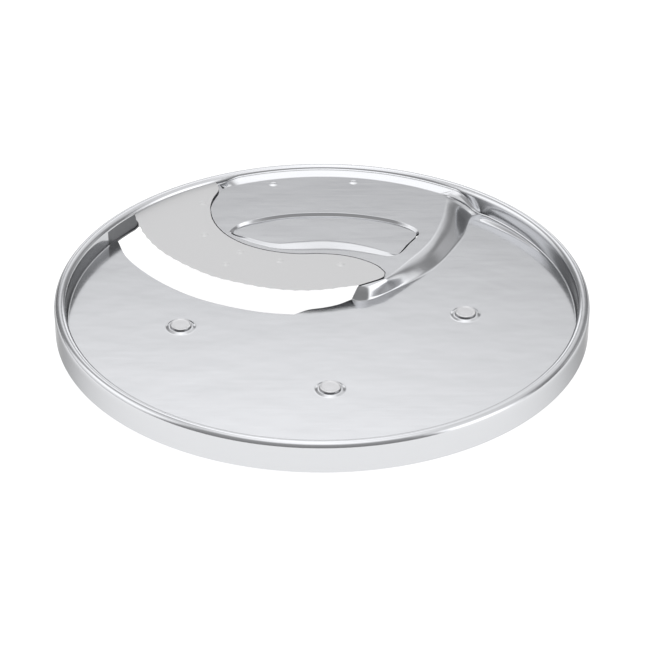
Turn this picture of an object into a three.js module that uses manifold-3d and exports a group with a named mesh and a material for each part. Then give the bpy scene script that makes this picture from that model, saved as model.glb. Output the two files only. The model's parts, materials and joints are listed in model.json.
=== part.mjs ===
// Slicing disc of a food processor: a pressed stainless sheet with a welded blade,
// and a moulded hub carrier under it that three rivets hold.
// Millimetres, +Z up. The origin is on the axis of rotation, in the plane the hub stands on.
import * as THREE from 'three';
import Module from 'manifold-3d';

const wasm = await Module();
wasm.setup();

// Driving dimensions
const SHEET = 0.7;             // thickness of the pressed sheet
const FOOT_R = 90.5;           // where the rim's inner wall meets the plate
const CREST_R = 93.1;          // top of the rolled rim; the skirt outside it has a radius of 95.25
const SKIRT_H = 11.1;          // rim crest down to the skirt's edge
const PLATE_DROP = 7.5;        // rim crest down to the plate
const HUB_H = 15;              // plate's underside down to the hub's face
const PLATE_Z = HUB_H + SHEET;
const CREST_Z = PLATE_Z + PLATE_DROP;
const BLADE_T = 0.8;
const BLADE_R = 90.8;          // outer end of the blade
const BLADE_GROUND = 3;        // width of the bevel ground under the cutting edge
const GAP = 0.1;               // air kept between pieces that bear on each other
const SLIT = 0.35;             // slit between the blade and the sheet behind it
const CUT_HEIGHT = 4.85;       // cutting edge above the plate, at its lowest
const CUT_Y = 5;               // where that height is taken
const PLATEAU_RISE = 0.0165;   // the plateau climbs towards the rim, mm per mm
const DISH_DROP = 3.1;         // rim crest down to the floor of the crescent dish
const GROOVE = 0.43;           // depth of the groove between the plateau's shoulder and the rim
const RIVET_R = 51.3;          // circle that the rivets stand on
const RIVETS = { left: 193, front: 273.2, right: 356.4 };
const BOSS = { foot: 5.4, top: 4.1, rise: 0.5, hole: 2.4 };
const RIVET = { head: 3.8, headH: 0.75, edge: 0.2, lip: 0.12, dish: 3.1, shank: 2.2,
  tail: 3.4, tailH: 1, tailEdge: 0.5 };
const WASHER = { outer: 4.8, hole: 2.4, t: 0.6 };
const HUB = { r: 14, socket: 8.4, socketTop: 7.3, recess: 11.2, recessH: 1.1 };
const CHUTE = { from: -2.6, to: 15, low: 4 };  // the boss slopes away at its back, under the slot
const SLEEVE = { outer: 8.3, inner: 7.5, top: 7.1, lip: 11, lipT: 0.9 };
const ARM = { half: 7, t: 2.6, ribT: 1.4, ribH: 1.2, slotMargin: 1 };
const PIN = { r: 1.5, from: 5.9, to: 13.4, z: 4.4, chamfer: 0.3 };
const CUTTER = 1;              // how far a cutting solid runs past what it cuts

const DEG = Math.PI / 180;
const range = n => Array.from({ length: n }, (_, i) => i);
const xy = (r, azimuth) => [r * Math.cos(azimuth * DEG), r * Math.sin(azimuth * DEG)];
const point = ([x, y], z = 0) => new THREE.Vector3(x, y, z);
const ease = t => t * t * (3 - 2 * t);

// Heights of the sheet's top face
const plate = () => PLATE_Z;
const plateau = p => PLATE_Z + CUT_HEIGHT + PLATEAU_RISE * (p.y - CUT_Y);
const ledge = p => plateau(p) - BLADE_T - GAP;
const dishFloor = () => CREST_Z - DISH_DROP;

// ---------------------------------------------------------------- lines in plan

function spline(points, segments) {
  const line = new THREE.CatmullRomCurve3(points.map(p => point(p)), false, 'centripetal');
  const samples = line.getSpacedPoints(segments);
  samples[0] = point(points[0]);
  samples[segments] = point(points[points.length - 1]);
  return samples;
}

function loop(points, steps) {
  const line = new THREE.CatmullRomCurve3(points.map(p => point(p)), true, 'centripetal');
  const n = points.length * steps;
  return range(n).map(i => line.getPoint(i / n));
}

function arc(r, from, to, segments) {
  return range(segments + 1).map(i => point(xy(r, from + (to - from) * i / segments)));
}

// The same line moved sideways; positive distances go to the left of its direction.
function offset(line, distance) {
  return line.map((p, i) => {
    const before = line[Math.max(i - 1, 0)];
    const after = line[Math.min(i + 1, line.length - 1)];
    const along = after.clone().sub(before).normalize();
    return new THREE.Vector3(p.x - along.y * distance, p.y + along.x * distance, 0);
  });
}

const chain = (...lines) => lines.flatMap((line, i) => (i ? line.slice(1) : line));
const lift = (line, height) => line.map(p => new THREE.Vector3(p.x, p.y, height(p)));
const reversed = line => [...line].reverse();

// Azimuths where the rim's wall changes what it stands on
const NOTCH = 48.5;            // the ramp's foot meets the rim
const SHOULDER_START = 56;     // the wall's foot has climbed to the plateau's shoulder
const SHOULDER_CORNER = 58.7;  // the plateau's corner
const GROOVE_END = 110;        // from here on the groove deepens to the blade's ledge
const CUT_END = 115.6;         // the plateau's cut end, behind the blade
const LEDGE_END = 135;         // the ledge under the blade leaves the rim
const WALL_LOW = 141;          // the wall is back at its full height
const SLOT_END = 147.5;        // the slicing slot's front edge meets the rim
const SHOULDER_R = 85.6;

const BLADE_EDGE = spline([[13, 8.6], [0, 5.4], [-10, 5], [-20, 6.7], [-30, 10.1], [-40, 14.7],
  [-52, 24.2], [-60, 33], [-65.5, 42.5], [-69, 52.5], xy(BLADE_R, 140.2)], 28);
const BLADE_OUTER = arc(BLADE_R, 140.2, 116.3, 8);
const BLADE_BACK = spline([[22.7, 17.4], [20, 21.8], [15, 25.7], [8, 28.8], [0, 30], [-10, 30],
  [-20, 32.3], [-29, 37], [-36, 44], [-40.5, 53], [-42, 62.2], [-41.3, 69], [-39.2, 76.5],
  xy(BLADE_R, 116.3)], 30);
const BLADE_END = spline([[22.7, 17.4], [22.4, 14.8], [20.9, 13.2], [13, 8.6]], 6);

const SLOT_FRONT = spline([xy(FOOT_R, SLOT_END), [-72, 36.3], [-64, 24.7], [-55, 15.4],
  [-45, 7.9], [-35, 2.9], [-25, -0.7], [-17, -2.5], [-10, -3.2]], 24);
const SLOT_TONGUE = spline([[-10, -3.2], [-5, -0.1], [1, 1.5], [6, 3.6], [10.5, 6.8]], 8);
const LEDGE_FRONT = spline([[22.2, 17.2], [14, 16.6], [0, 14.6], [-14, 15], [-28, 19], [-42, 27],
  [-53, 39], [-60, 53], xy(FOOT_R, LEDGE_END)], 22);

const RAMP_FOOT_LOW = spline([[10.5, 6.8], [12.6, 5.6], [16, 6], [20, 8.4], [24.5, 12.2]], 6);
const RAMP_FOOT = spline([[24.5, 12.2], [32, 19.6], [40, 28.6], [47, 40.5], [52.5, 52],
  [55.3, 63]], 16);
const RAMP_FOOT_END = spline([[55.3, 63], [57, 66.2], xy(FOOT_R, NOTCH)], 4);
const RAMP_TOP_LOW = spline([[13.7, 8.1], [18, 10.4], [22.9, 13.3]], 6);
const RAMP_TOP = spline([[22.9, 13.3], [28, 18.6], [33, 25], [38, 32], [42, 39.8], [45, 49.5],
  [47, 59.3], [47.9, 66.5]], 16);
const RAMP_TOP_END = spline([[47.9, 66.5], [48.1, 69.5], [46.8, 71.8],
  xy(SHOULDER_R, SHOULDER_CORNER)], 8);
const SHOULDER_TOP = arc(SHOULDER_R, SHOULDER_CORNER, CUT_END, 18);

const DISH_RIM = [[-34.3, 45], [-29.5, 40.6], [-24, 37], [-17, 34.4], [-8, 33], [2, 33],
  [11, 31.8], [19, 29.4], [25, 28], [28.4, 30.2], [32.3, 37], [36, 44.4], [34.5, 48.3],
  [28, 53.4], [19, 56.9], [9, 58.9], [-2, 59.3], [-13, 58.3], [-23, 55.3], [-31, 51]];
const DISH_FLOOR = [[-31.8, 46], [-27.5, 43.4], [-22, 40.4], [-16, 39], [-8, 40.4], [1, 41.2],
  [10, 39.6], [18, 36.2], [24, 32.6], [27.4, 31.4], [31.2, 37.8], [34.6, 44.2], [32.8, 46.6],
  [27, 50.6], [18.5, 54.2], [9, 56.2], [-2, 56.7], [-13, 55.7], [-22, 52.8], [-29, 49]];
const DISH_STEPS = 2;
const DISH_SLIT = [9, 11];     // between these points the sheet is lanced through

// ---------------------------------------------------------------- pressed sheet

const skin = [];               // corners of the sheet's top face, three for each triangle

function face(a, b, c) {
  const normal = b.clone().sub(a).cross(c.clone().sub(a));
  if (normal.length() > 1e-6) skin.push(a, b, c);
}

// A band between two lines of equally many points, with the first line on the right.
function band(right, left) {
  for (const i of range(right.length - 1)) {
    face(right[i], right[i + 1], left[i + 1]);
    face(right[i], left[i + 1], left[i]);
  }
}

// A level field inside an outline, less its holes.
function field(outline, holes, height) {
  const counterclockwise = line => (THREE.ShapeUtils.isClockWise(line) ? reversed(line) : line);
  const edge = counterclockwise(outline);
  const cuts = holes.map(hole => reversed(counterclockwise(hole)));
  const all = lift([edge, ...cuts].flat(), height);
  for (const [a, b, c] of THREE.ShapeUtils.triangulateShape(edge, cuts)) {
    face(all[a], all[b], all[c]);
  }
}

// A pressed slope between two lines, rounded into the level at each end.
// Returns the line of points at its far end, from foot to top.
function slope(foot, top, rows) {
  const row = t => foot.map((p, i) => {
    const q = p.clone().lerp(top[i], t);
    q.z = p.z + (top[i].z - p.z) * ease(t);
    return q;
  });
  const lines = range(rows + 1).map(k => row(k / rows));
  for (const k of range(rows)) band(lines[k], lines[k + 1]);
  return lines.map(line => line[line.length - 1]);
}

// Rim section: inner wall as [outwards mm, share of the wall's height], then the outside
// of the rolled crest and skirt as [outwards from the crest, down from the crest].
const WALL = [[0, 0], [0.35, 0.02], [0.6, 0.1], [1.05, 0.78], [1.3, 0.91], [1.8, 0.975], [2.6, 1]];
const OUTSIDE = [[0.9, 0.2], [1.65, 0.75], [2.05, 1.5], [2.15, 2.3], [2.15, SKIRT_H]];

function footHeight(azimuth) {
  const at = point(xy(FOOT_R, azimuth));
  const share = (value, from, to) => ease(THREE.MathUtils.clamp((value - from) / (to - from), 0, 1));
  const depth = GROOVE + (BLADE_T + GAP - GROOVE) * share(azimuth, GROOVE_END, CUT_END);
  const climbed = azimuth < CUT_END ? share(azimuth, NOTCH, SHOULDER_START)
    : 1 - share(azimuth, LEDGE_END, WALL_LOW);
  return PLATE_Z + (plateau(at) - depth - PLATE_Z) * climbed;
}

// Sweeps the rim over a stretch of azimuths and returns the foot of its wall.
function rim(from, to, segments) {
  const sections = range(segments + 1).map(i => {
    const azimuth = from + (to - from) * i / segments;
    const low = footHeight(azimuth);
    const wall = WALL.map(([out, up]) => point(xy(FOOT_R + out, azimuth), low + (CREST_Z - low) * up));
    const outside = OUTSIDE.map(([out, down]) => point(xy(CREST_R + out, azimuth), CREST_Z - down));
    return [...wall, ...outside];
  });
  const lines = sections[0].map((_, k) => sections.map(section => section[k]));
  for (const k of range(lines.length - 1)) band(lines[k + 1], lines[k]);
  return lines[0];
}

function rivetCentre(azimuth) {
  return point(xy(RIVET_R, azimuth));
}

// A raised boss with the rivet's hole in it; returns its foot for the plate's outline.
function boss(azimuth) {
  const centre = rivetCentre(azimuth);
  const ring = (r, z) => arc(r, 0, 360, 20).map(p => p.add(centre).setZ(z));
  const foot = ring(BOSS.foot, PLATE_Z);
  const top = ring(BOSS.top, PLATE_Z + BOSS.rise);
  slope(foot, top, 2);
  band(top, ring(BOSS.hole, PLATE_Z + BOSS.rise));
  return foot.slice(1);
}

function crescentDish() {
  const outer = lift(loop(DISH_RIM, DISH_STEPS), plateau);
  const inner = lift(loop(DISH_FLOOR, DISH_STEPS), dishFloor);
  const [open, shut] = DISH_SLIT.map(k => k * DISH_STEPS);
  const round = line => [...line.slice(shut), ...line.slice(0, open + 1)];
  slope(round(outer), round(inner), 3);
  field(inner, [], dishFloor);
  return outer;
}

function pressSheet() {
  const plateFoot = rim(SLOT_END, NOTCH + 360, 72);
  const notchFoot = rim(NOTCH, SHOULDER_START, 4);
  const shoulderFoot = rim(SHOULDER_START, CUT_END, 18);
  const ledgeFoot = rim(CUT_END, LEDGE_END, 6);
  rim(LEDGE_END, SLOT_END, 5);

  const bosses = Object.values(RIVETS).map(boss);
  field(chain(SLOT_FRONT, SLOT_TONGUE, RAMP_FOOT_LOW, RAMP_FOOT, RAMP_FOOT_END,
    reversed(plateFoot)).slice(1), bosses, plate);

  slope(lift(RAMP_FOOT_LOW, plate), lift(RAMP_TOP_LOW, plateau), 5);
  slope(lift(RAMP_FOOT, plate), lift(RAMP_TOP, plateau), 5);
  slope(chain(lift(RAMP_FOOT_END, plate), notchFoot), lift(RAMP_TOP_END, plateau), 5);
  const cutEnd = slope(shoulderFoot, lift(SHOULDER_TOP, plateau), 5);

  // The blade's first few points from the rim lie beyond the shoulder's top.
  const behindBlade = reversed(offset(BLADE_BACK, -SLIT)).slice(3);
  const cutEdge = [...cutEnd.slice(-1), ...behindBlade];
  field(chain(RAMP_TOP, RAMP_TOP_END, SHOULDER_TOP, cutEdge), [crescentDish()], plateau);

  const stepTop = chain(cutEnd, lift(cutEdge, plateau));
  const stepFoot = lift(offset(stepTop, -SLIT / 2), ledge);
  stepFoot[0] = stepTop[0];
  band(stepFoot, stepTop);
  field([...stepFoot, ...LEDGE_FRONT, ...reversed(ledgeFoot).slice(1, -1)], [], ledge);
}

// ---------------------------------------------------------------- solids

function solidFrom(corners, indices) {
  const geometry = new THREE.BufferGeometry().setFromPoints(corners);
  geometry.setIndex(indices);
  return geometry;
}

// Gives an open skin its thickness, and closes it along its free edges.
function thicken(faces, thickness) {
  const found = new Map();
  const corners = [];
  const index = faces.map(p => {
    const key = [p.x, p.y, p.z].map(c => Math.round(c * 1e4)).join();
    if (!found.has(key)) found.set(key, corners.push(p) - 1);
    return found.get(key);
  });
  const normals = corners.map(() => new THREE.Vector3());
  const edges = new Map();
  for (let i = 0; i < index.length; i += 3) {
    const [a, b, c] = index.slice(i, i + 3);
    const normal = corners[b].clone().sub(corners[a]).cross(corners[c].clone().sub(corners[a]));
    for (const k of [a, b, c]) normals[k].add(normal);
    for (const [from, to] of [[a, b], [b, c], [c, a]]) edges.set(`${from} ${to}`, [from, to]);
  }
  const n = corners.length;
  const under = corners.map((p, k) => p.clone().addScaledVector(normals[k].normalize(), -thickness));
  const closed = [...index];
  for (let i = 0; i < index.length; i += 3) {
    closed.push(n + index[i], n + index[i + 2], n + index[i + 1]);
  }
  for (const [from, to] of edges.values()) {
    if (!edges.has(`${to} ${from}`)) closed.push(to, from, n + from, to, n + from, n + to);
  }
  return solidFrom([...corners, ...under], closed);
}

// A solid between two outlines of equally many points, one above the other.
function loft(top, bottom) {
  const n = top.length;
  const indices = [];
  for (const [a, b, c] of THREE.ShapeUtils.triangulateShape(top, [])) indices.push(a, b, c);
  for (const [a, b, c] of THREE.ShapeUtils.triangulateShape(bottom, [])) {
    indices.push(n + a, n + c, n + b);
  }
  for (const i of range(n)) {
    const next = (i + 1) % n;
    indices.push(next, i, n + i, next, n + i, n + next);
  }
  return solidFrom([...top, ...bottom], indices);
}

function turned(profile, segments = 32) {
  const closed = profile.map(([r, z]) => new THREE.Vector2(r, z));
  if (profile[0][0] > 0) closed.push(closed[0].clone());
  const geometry = new THREE.LatheGeometry(closed, segments);
  return geometry.rotateX(Math.PI / 2);
}

function manifold(geometry) {
  const merged = new Map();
  const numbers = [];
  const position = geometry.getAttribute('position');
  const source = geometry.index ? [...geometry.index.array] : range(position.count);
  const corner = source.map(i => {
    const p = new THREE.Vector3().fromBufferAttribute(position, i);
    const key = [p.x, p.y, p.z].map(c => Math.round(c * 1e4)).join();
    if (!merged.has(key)) {
      merged.set(key, merged.size);
      numbers.push(p.x, p.y, p.z);
    }
    return merged.get(key);
  });
  const whole = range(corner.length / 3).map(i => corner.slice(3 * i, 3 * i + 3))
    .filter(([a, b, c]) => a !== b && b !== c && c !== a);
  return new wasm.Manifold(new wasm.Mesh({
    numProp: 3,
    vertProperties: Float32Array.from(numbers),
    triVerts: Uint32Array.from(whole.flat()),
  }));
}

function geometryOf(solid) {
  const mesh = solid.getMesh();
  const geometry = new THREE.BufferGeometry();
  geometry.setAttribute('position', new THREE.BufferAttribute(mesh.vertProperties, 3));
  geometry.setIndex(new THREE.BufferAttribute(mesh.triVerts, 1));
  return geometry;
}

function extruded(points, low, high) {
  const shape = new THREE.Shape(points.map(p => new THREE.Vector2(p.x, p.y)));
  const depth = high - low;
  return new THREE.ExtrudeGeometry(shape, { depth, bevelEnabled: false }).translate(0, 0, low);
}

function rod(r, low, high, segments = 32) {
  return turned([[0, low], [r, low], [r, high], [0, high]], segments);
}

// ---------------------------------------------------------------- pieces

// Where the ground bevel runs out, at the blade's straight end and at the rim
const GROUND_START = [15.6, 11.4];
const GROUND_END = xy(BLADE_R, 138.3);

function blade() {
  const ground = offset(BLADE_EDGE, -BLADE_GROUND);
  ground.splice(0, 1, point(GROUND_START));
  ground.splice(-1, 1, point(GROUND_END));
  const rest = chain(BLADE_OUTER, reversed(BLADE_BACK), BLADE_END).slice(1, -1);
  const top = lift([...BLADE_EDGE, ...rest], plateau);
  const bottom = lift([...ground, ...rest], p => plateau(p) - BLADE_T);
  return loft(reversed(top), reversed(bottom));
}

const ARM_TOP = HUB_H - GAP;
const ARM_LOW = ARM_TOP - ARM.t;

// A bar from the axis to a rivet, with a round end and a rib along each side.
function arm(azimuth) {
  const end = arc(ARM.half, -90, 90, 12).map(p => p.setX(p.x + RIVET_R));
  const bar = extruded([point([0, -ARM.half]), ...end, point([0, ARM.half])], ARM_LOW, ARM_TOP);
  let solid = manifold(bar);
  const ribLength = RIVET_R - BOSS.foot;
  for (const side of [-1, 1]) {
    const rib = new THREE.BoxGeometry(ribLength, ARM.ribT, ARM.ribH + ARM.t);
    const across = side * (ARM.half - ARM.ribT / 2);
    rib.translate(ribLength / 2, across, ARM_LOW + (ARM.t - ARM.ribH) / 2);
    solid = solid.add(manifold(rib));
  }
  const hole = rod(WASHER.hole, 0, HUB_H + CUTTER, 20).translate(RIVET_R, 0, 0);
  return solid.subtract(manifold(hole)).rotate([0, 0, azimuth]);
}

// What is cut off the arms, so that they stop short of the slicing slot and slices fall clear.
function slotCutter() {
  const front = offset([...SLOT_FRONT, ...SLOT_TONGUE.slice(1)], -ARM.slotMargin);
  return manifold(extruded([...front, point([30, 20]), point([-30, 60])], -CUTTER, HUB_H + CUTTER));
}

function chuteCutter() {
  const above = HUB_H + CUTTER;
  const wedge = new THREE.Shape([[CHUTE.from, above], [CHUTE.from, ARM_TOP], [CHUTE.to, CHUTE.low],
    [CHUTE.to, above]].map(([y, z]) => new THREE.Vector2(y, z)));
  const width = 2 * (HUB.r + CUTTER);
  const chute = new THREE.ExtrudeGeometry(wedge, { depth: width, bevelEnabled: false });
  return manifold(chute.rotateX(Math.PI / 2).rotateZ(Math.PI / 2).translate(-width / 2, 0, 0));
}

function hubCarrier() {
  const hubBoss = manifold(rod(HUB.r, 0, ARM_TOP, 48));
  let solid = hubBoss;
  for (const azimuth of Object.values(RIVETS)) solid = solid.add(arm(azimuth));
  solid = solid.subtract(slotCutter()).add(hubBoss).subtract(chuteCutter());
  solid = solid.subtract(manifold(rod(HUB.socket, -CUTTER, HUB.socketTop, 40)));
  solid = solid.subtract(manifold(rod(HUB.recess, -CUTTER, HUB.recessH, 40)));
  return geometryOf(solid.subtract(manifold(pinBar(PIN.r + GAP, HUB.r + CUTTER))));
}

function pinBar(r, reach) {
  return rod(r, -reach, reach, 20).rotateY(Math.PI / 2).translate(0, 0, PIN.z);
}

function socketSleeve() {
  const profile = [[SLEEVE.inner, GAP], [SLEEVE.lip, GAP], [SLEEVE.lip, GAP + SLEEVE.lipT],
    [SLEEVE.outer, GAP + SLEEVE.lipT], [SLEEVE.outer, SLEEVE.top], [SLEEVE.inner, SLEEVE.top]];
  const sleeve = manifold(turned(profile, 40));
  return geometryOf(sleeve.subtract(manifold(pinBar(PIN.r + GAP, HUB.r))));
}

function drivePin(side) {
  const length = PIN.to - PIN.from;
  const profile = [[0, 0], [PIN.r - PIN.chamfer, 0], [PIN.r, PIN.chamfer],
    [PIN.r, length - PIN.chamfer], [PIN.r - PIN.chamfer, length], [0, length]];
  const pin = turned(profile, 20).rotateY(side * Math.PI / 2);
  return pin.translate(side * PIN.from, 0, PIN.z);
}

function rivet(azimuth) {
  const headLow = PLATE_Z + BOSS.rise + GAP;
  const headTop = headLow + RIVET.headH;
  const tailTop = ARM_LOW - WASHER.t - 2 * GAP;
  const tail = [[0, tailTop - RIVET.tailH], [RIVET.tail - RIVET.tailEdge, tailTop - RIVET.tailH],
    [RIVET.tail, tailTop - RIVET.tailH / 2], [RIVET.tail, tailTop], [RIVET.shank, tailTop]];
  const head = [[RIVET.shank, headLow], [RIVET.head, headLow], [RIVET.head, headTop - RIVET.edge],
    [RIVET.head - RIVET.edge, headTop], [RIVET.dish + RIVET.lip, headTop],
    [RIVET.dish, headTop - RIVET.lip], [0, headTop - RIVET.lip]];
  const centre = rivetCentre(azimuth);
  return turned([...tail, ...head], 28).translate(centre.x, centre.y, 0);
}

function rivetWasher(azimuth) {
  const low = ARM_LOW - WASHER.t - GAP;
  const ring = turned([[WASHER.hole, low], [WASHER.outer, low], [WASHER.outer, low + WASHER.t],
    [WASHER.hole, low + WASHER.t]], 28);
  const centre = rivetCentre(azimuth);
  return ring.translate(centre.x, centre.y, 0);
}

// ---------------------------------------------------------------- assembly

const polishedSheet = new THREE.MeshStandardMaterial({ color: '#c9cbce', roughness: 0.22, metalness: 1 });
const satinBlade = new THREE.MeshStandardMaterial({ color: '#c6c7c8', roughness: 0.38, metalness: 1 });
const rivetSteel = new THREE.MeshStandardMaterial({ color: '#cfd0d2', roughness: 0.3, metalness: 1 });
const pinSteel = new THREE.MeshStandardMaterial({ color: '#b9bbbe', roughness: 0.35, metalness: 1 });
const hubPlastic = new THREE.MeshStandardMaterial({ color: '#f1f0ec', roughness: 0.55, metalness: 0 });

const disc = new THREE.Group();

function add(name, geometry, material) {
  const mesh = new THREE.Mesh(geometry, material);
  mesh.name = name;
  disc.add(mesh);
}

pressSheet();
add('disc_plate', thicken(skin, SHEET), polishedSheet);
add('slicing_blade', blade(), satinBlade);
add('hub_carrier', hubCarrier(), hubPlastic);
add('socket_sleeve', socketSleeve(), pinSteel);
add('drive_pin_right', drivePin(1), pinSteel);
add('drive_pin_left', drivePin(-1), pinSteel);
for (const [name, azimuth] of Object.entries(RIVETS)) {
  add(`rivet_${name}`, rivet(azimuth), rivetSteel);
  add(`rivet_washer_${name}`, rivetWasher(azimuth), rivetSteel);
}

export default disc;
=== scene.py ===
"""Slicing disc of a food processor: pressed stainless sheet, welded serrated blade, riveted hub carrier."""
import json
import math

import bpy
import numpy as np
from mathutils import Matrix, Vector
from mathutils.geometry import tessellate_polygon

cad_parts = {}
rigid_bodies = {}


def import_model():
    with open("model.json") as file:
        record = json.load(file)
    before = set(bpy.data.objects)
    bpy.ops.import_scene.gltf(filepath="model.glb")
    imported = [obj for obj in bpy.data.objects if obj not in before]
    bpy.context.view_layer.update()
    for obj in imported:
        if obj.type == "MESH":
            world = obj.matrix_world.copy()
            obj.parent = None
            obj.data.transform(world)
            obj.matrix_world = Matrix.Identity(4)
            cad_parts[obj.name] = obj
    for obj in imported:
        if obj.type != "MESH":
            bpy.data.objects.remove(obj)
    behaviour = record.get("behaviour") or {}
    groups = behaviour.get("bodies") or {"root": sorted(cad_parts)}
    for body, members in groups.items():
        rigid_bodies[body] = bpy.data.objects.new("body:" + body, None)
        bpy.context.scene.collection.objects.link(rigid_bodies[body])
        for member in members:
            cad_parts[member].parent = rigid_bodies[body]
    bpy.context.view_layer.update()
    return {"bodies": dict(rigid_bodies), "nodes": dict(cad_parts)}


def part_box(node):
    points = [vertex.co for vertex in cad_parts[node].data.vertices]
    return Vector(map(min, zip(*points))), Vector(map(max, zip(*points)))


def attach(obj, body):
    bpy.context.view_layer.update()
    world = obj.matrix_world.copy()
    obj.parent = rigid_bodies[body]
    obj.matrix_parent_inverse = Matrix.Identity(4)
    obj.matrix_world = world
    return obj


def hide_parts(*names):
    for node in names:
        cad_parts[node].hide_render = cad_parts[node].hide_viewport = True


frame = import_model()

MM = 0.001
BODY = next(iter(frame["bodies"]))
SHEET_BOX = [np.array(corner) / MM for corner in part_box("disc_plate")]

# ---------------------------------------------------------------- sizes, in millimetres

SHEET = 0.7                            # thickness of the pressed sheet
CREST_Z = float(SHEET_BOX[1][2])       # top of the rolled rim
SKIRT_Z = float(SHEET_BOX[0][2])       # lower edge of the skirt
RIM_HEIGHT = 7.5                       # from the plate up to the rim's crest
PLATE_Z = CREST_Z - RIM_HEIGHT
FOOT_R = 90.3                          # where the rim's inner wall starts
BLADE_T = 0.8
SEAT = 0.1                             # air between pieces that rest on each other
SLIT, SLIT_MORE = 0.35, 0.7            # slit behind the blade, and how much more it opens at the back
SLIT_OPENS, SLIT_CLOSES = (60, 9), (83, 6)   # where that starts and ends along Y, over what length
ARM_T = 2.6                            # thickness of the hub carrier's arms
ARM_LOW = PLATE_Z - SHEET - SEAT - ARM_T
CUT_HEIGHT, CUT_Y, PLATEAU_RISE = 4.85, 5.0, 0.0165   # plateau over plate, at which Y, and its tilt
DISH_DEPTH = 2.95                      # from the rim's crest down to the dish's floor
DISH_Z = CREST_Z - DISH_DEPTH
SHOULDER_LIFT = 0.4                    # the raised field's rise towards the rim
RIVET_R = 51.3
RIVET_AZIMUTHS = (193.0, 273.2, 356.4)
BOSS_FOOT, BOSS_TOP, BOSS_RISE, BOSS_HOLE = 5.6, 4.05, 0.5, 2.4   # radii, and the height
BOSS_ROUNDING, BOSS_SIDES = (0.35, 0.35), 64

# Azimuths, in degrees, where the rim's wall changes what it stands on
NOTCH = 48.5
SHOULDER_START, SHOULDER_CORNER = 56.0, 58.7
LIFT_END, CUT_END = 110.0, 115.6
CREASE_START = 22.0                    # a crease in the plate leaves the rim here, up to the notch
CREASE_FADES = (18, 2.2)               # degrees over which it starts and ends
CREASE_SPREAD = 0.194                  # width that it gains with each degree
CREASE_LIFT, CREASE_CREST, CREASE_DIP = 0.28, 0.6, 0.1   # heights at the rim, crest and trough
CREST_SHARE, CREST_MOST, TROUGH_SHARE = 0.2, 0.8, 0.86   # where its crest and trough lie in its width
LEDGE_END, WALL_LOW, SLOT_END = 135.0, 141.0, 147.5
SHOULDER_R, SLIT_SHORT = 85.6, 0.25    # where the shoulder ends, and the slit ends short of it
BEAD, BEAD_R = 2.1, 93.15              # radius of the rolled bead, and of the circle it runs on
WALL_R = (FOOT_R, 90.55, 90.8, 90.98)  # the wall's section, from its foot
WALL_DIP = (0, -0.1, -0.2, -0.17)      # its course where the wall is only a dip beside the rim
DIP_HEIGHT, TALL_RUN = 1.2, 2.0        # up to this height it is a dip, and so much higher a full wall
BEAD_TUCK, SKIRT_TOP = 0.1, 5.0        # the bead's arc ends below the foot; the skirt hangs from there
BLADE_R = 91.4                         # the blade's outer end, against the rim
BLADE_FRONT_AZ, BLADE_BACK_AZ = 140.2, 116.3
RIM_STEP = 0.75                        # mesh step round the rim, degrees
BLADE_AZ, DARK_WALL_END = 138.5, 150.5    # between these azimuths the wall is painted dark as shade with the edge steel
WALL_SPANS = 17                        # steps of the rim's section that belong to its wall


def xy(radius, azimuth):
    """A point in plan, from its distance to the axis and its azimuth in degrees from +X."""
    return (radius * math.cos(math.radians(azimuth)), radius * math.sin(math.radians(azimuth)))


# Lines in plan
BLADE_EDGE = [(13, 8.6), (0, 5.4), (-10, 5), (-20, 6.7), (-30, 10.1), (-40, 14.7), (-52, 24.2),
              (-60, 33), (-65.5, 42.5), (-69, 52.5), xy(BLADE_R, BLADE_FRONT_AZ)]
BLADE_BACK = [(22.7, 17.4), (20, 21.8), (15, 25.7), (8, 28.8), (0, 30), (-10, 30), (-20, 32.3),
              (-29, 37), (-36, 44), (-40.5, 53), (-42, 62.2), (-41.3, 69), (-39.2, 76.5),
              xy(BLADE_R, BLADE_BACK_AZ)]
BLADE_END = [(22.7, 17.4), (22.4, 14.8), (20.9, 13.2), (13, 8.6)]
SLOT_FRONT = [xy(FOOT_R, SLOT_END), (-72, 36.3), (-64, 24.7), (-55, 15.4), (-45, 7.9), (-35, 2.9),
              (-25, -0.7), (-17, -2.5), (-10, -3.2)]
SLOT_TONGUE = [(-10, -3.2), (-5, -0.1), (1, 1.5), (6, 3.6), (10.5, 6.8)]
LEDGE_FRONT = [(23, 16.4), (22.9, 14.6), (21.2, 12.6), (17.6, 10.5), (14.6, 9.9), (12.6, 11.6),
               (8.5, 13.8), (0, 14.6), (-14, 15), (-28, 19), (-42, 27), (-53, 39),
               (-60, 53), xy(FOOT_R, LEDGE_END)]
RAMP_FOOT_LOW = [(10.5, 6.8), (12.6, 5.6), (16, 6), (20, 8.4), (24.5, 12.2)]
RAMP_FOOT = [(24.5, 12.2), (32.6, 19.1), (41, 27.9), (48, 40), (53.2, 51.7), (55.6, 62.9)]
RAMP_FOOT_END = [(55.6, 62.9), (57, 66.2), xy(FOOT_R, NOTCH)]
RAMP_TOP_LOW = [(13.7, 8.1), (18, 10.4), (22.9, 13.3)]
RAMP_TOP = [(22.9, 13.3), (27.3, 19.2), (31.7, 26), (36.4, 33), (40.3, 40.5), (43.3, 49.8),
            (45.4, 59.4), (46.4, 66.7)]
RAMP_TOP_END = [(46.4, 66.7), (46.7, 69.6), (45.8, 71.8), xy(SHOULDER_R, SHOULDER_CORNER)]
RAMP_ROUNDING = (0.12, 0.6)            # shares of the ramp's run, at its foot and at its top
SHOULDER_ROUNDING, DISH_ROUNDING = (0.12, 0.12), (0.18, 0.18)
RAMP_ROWS, SHOULDER_ROWS, DISH_ROWS = 18, 14, 14   # mesh rows down each slope
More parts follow.
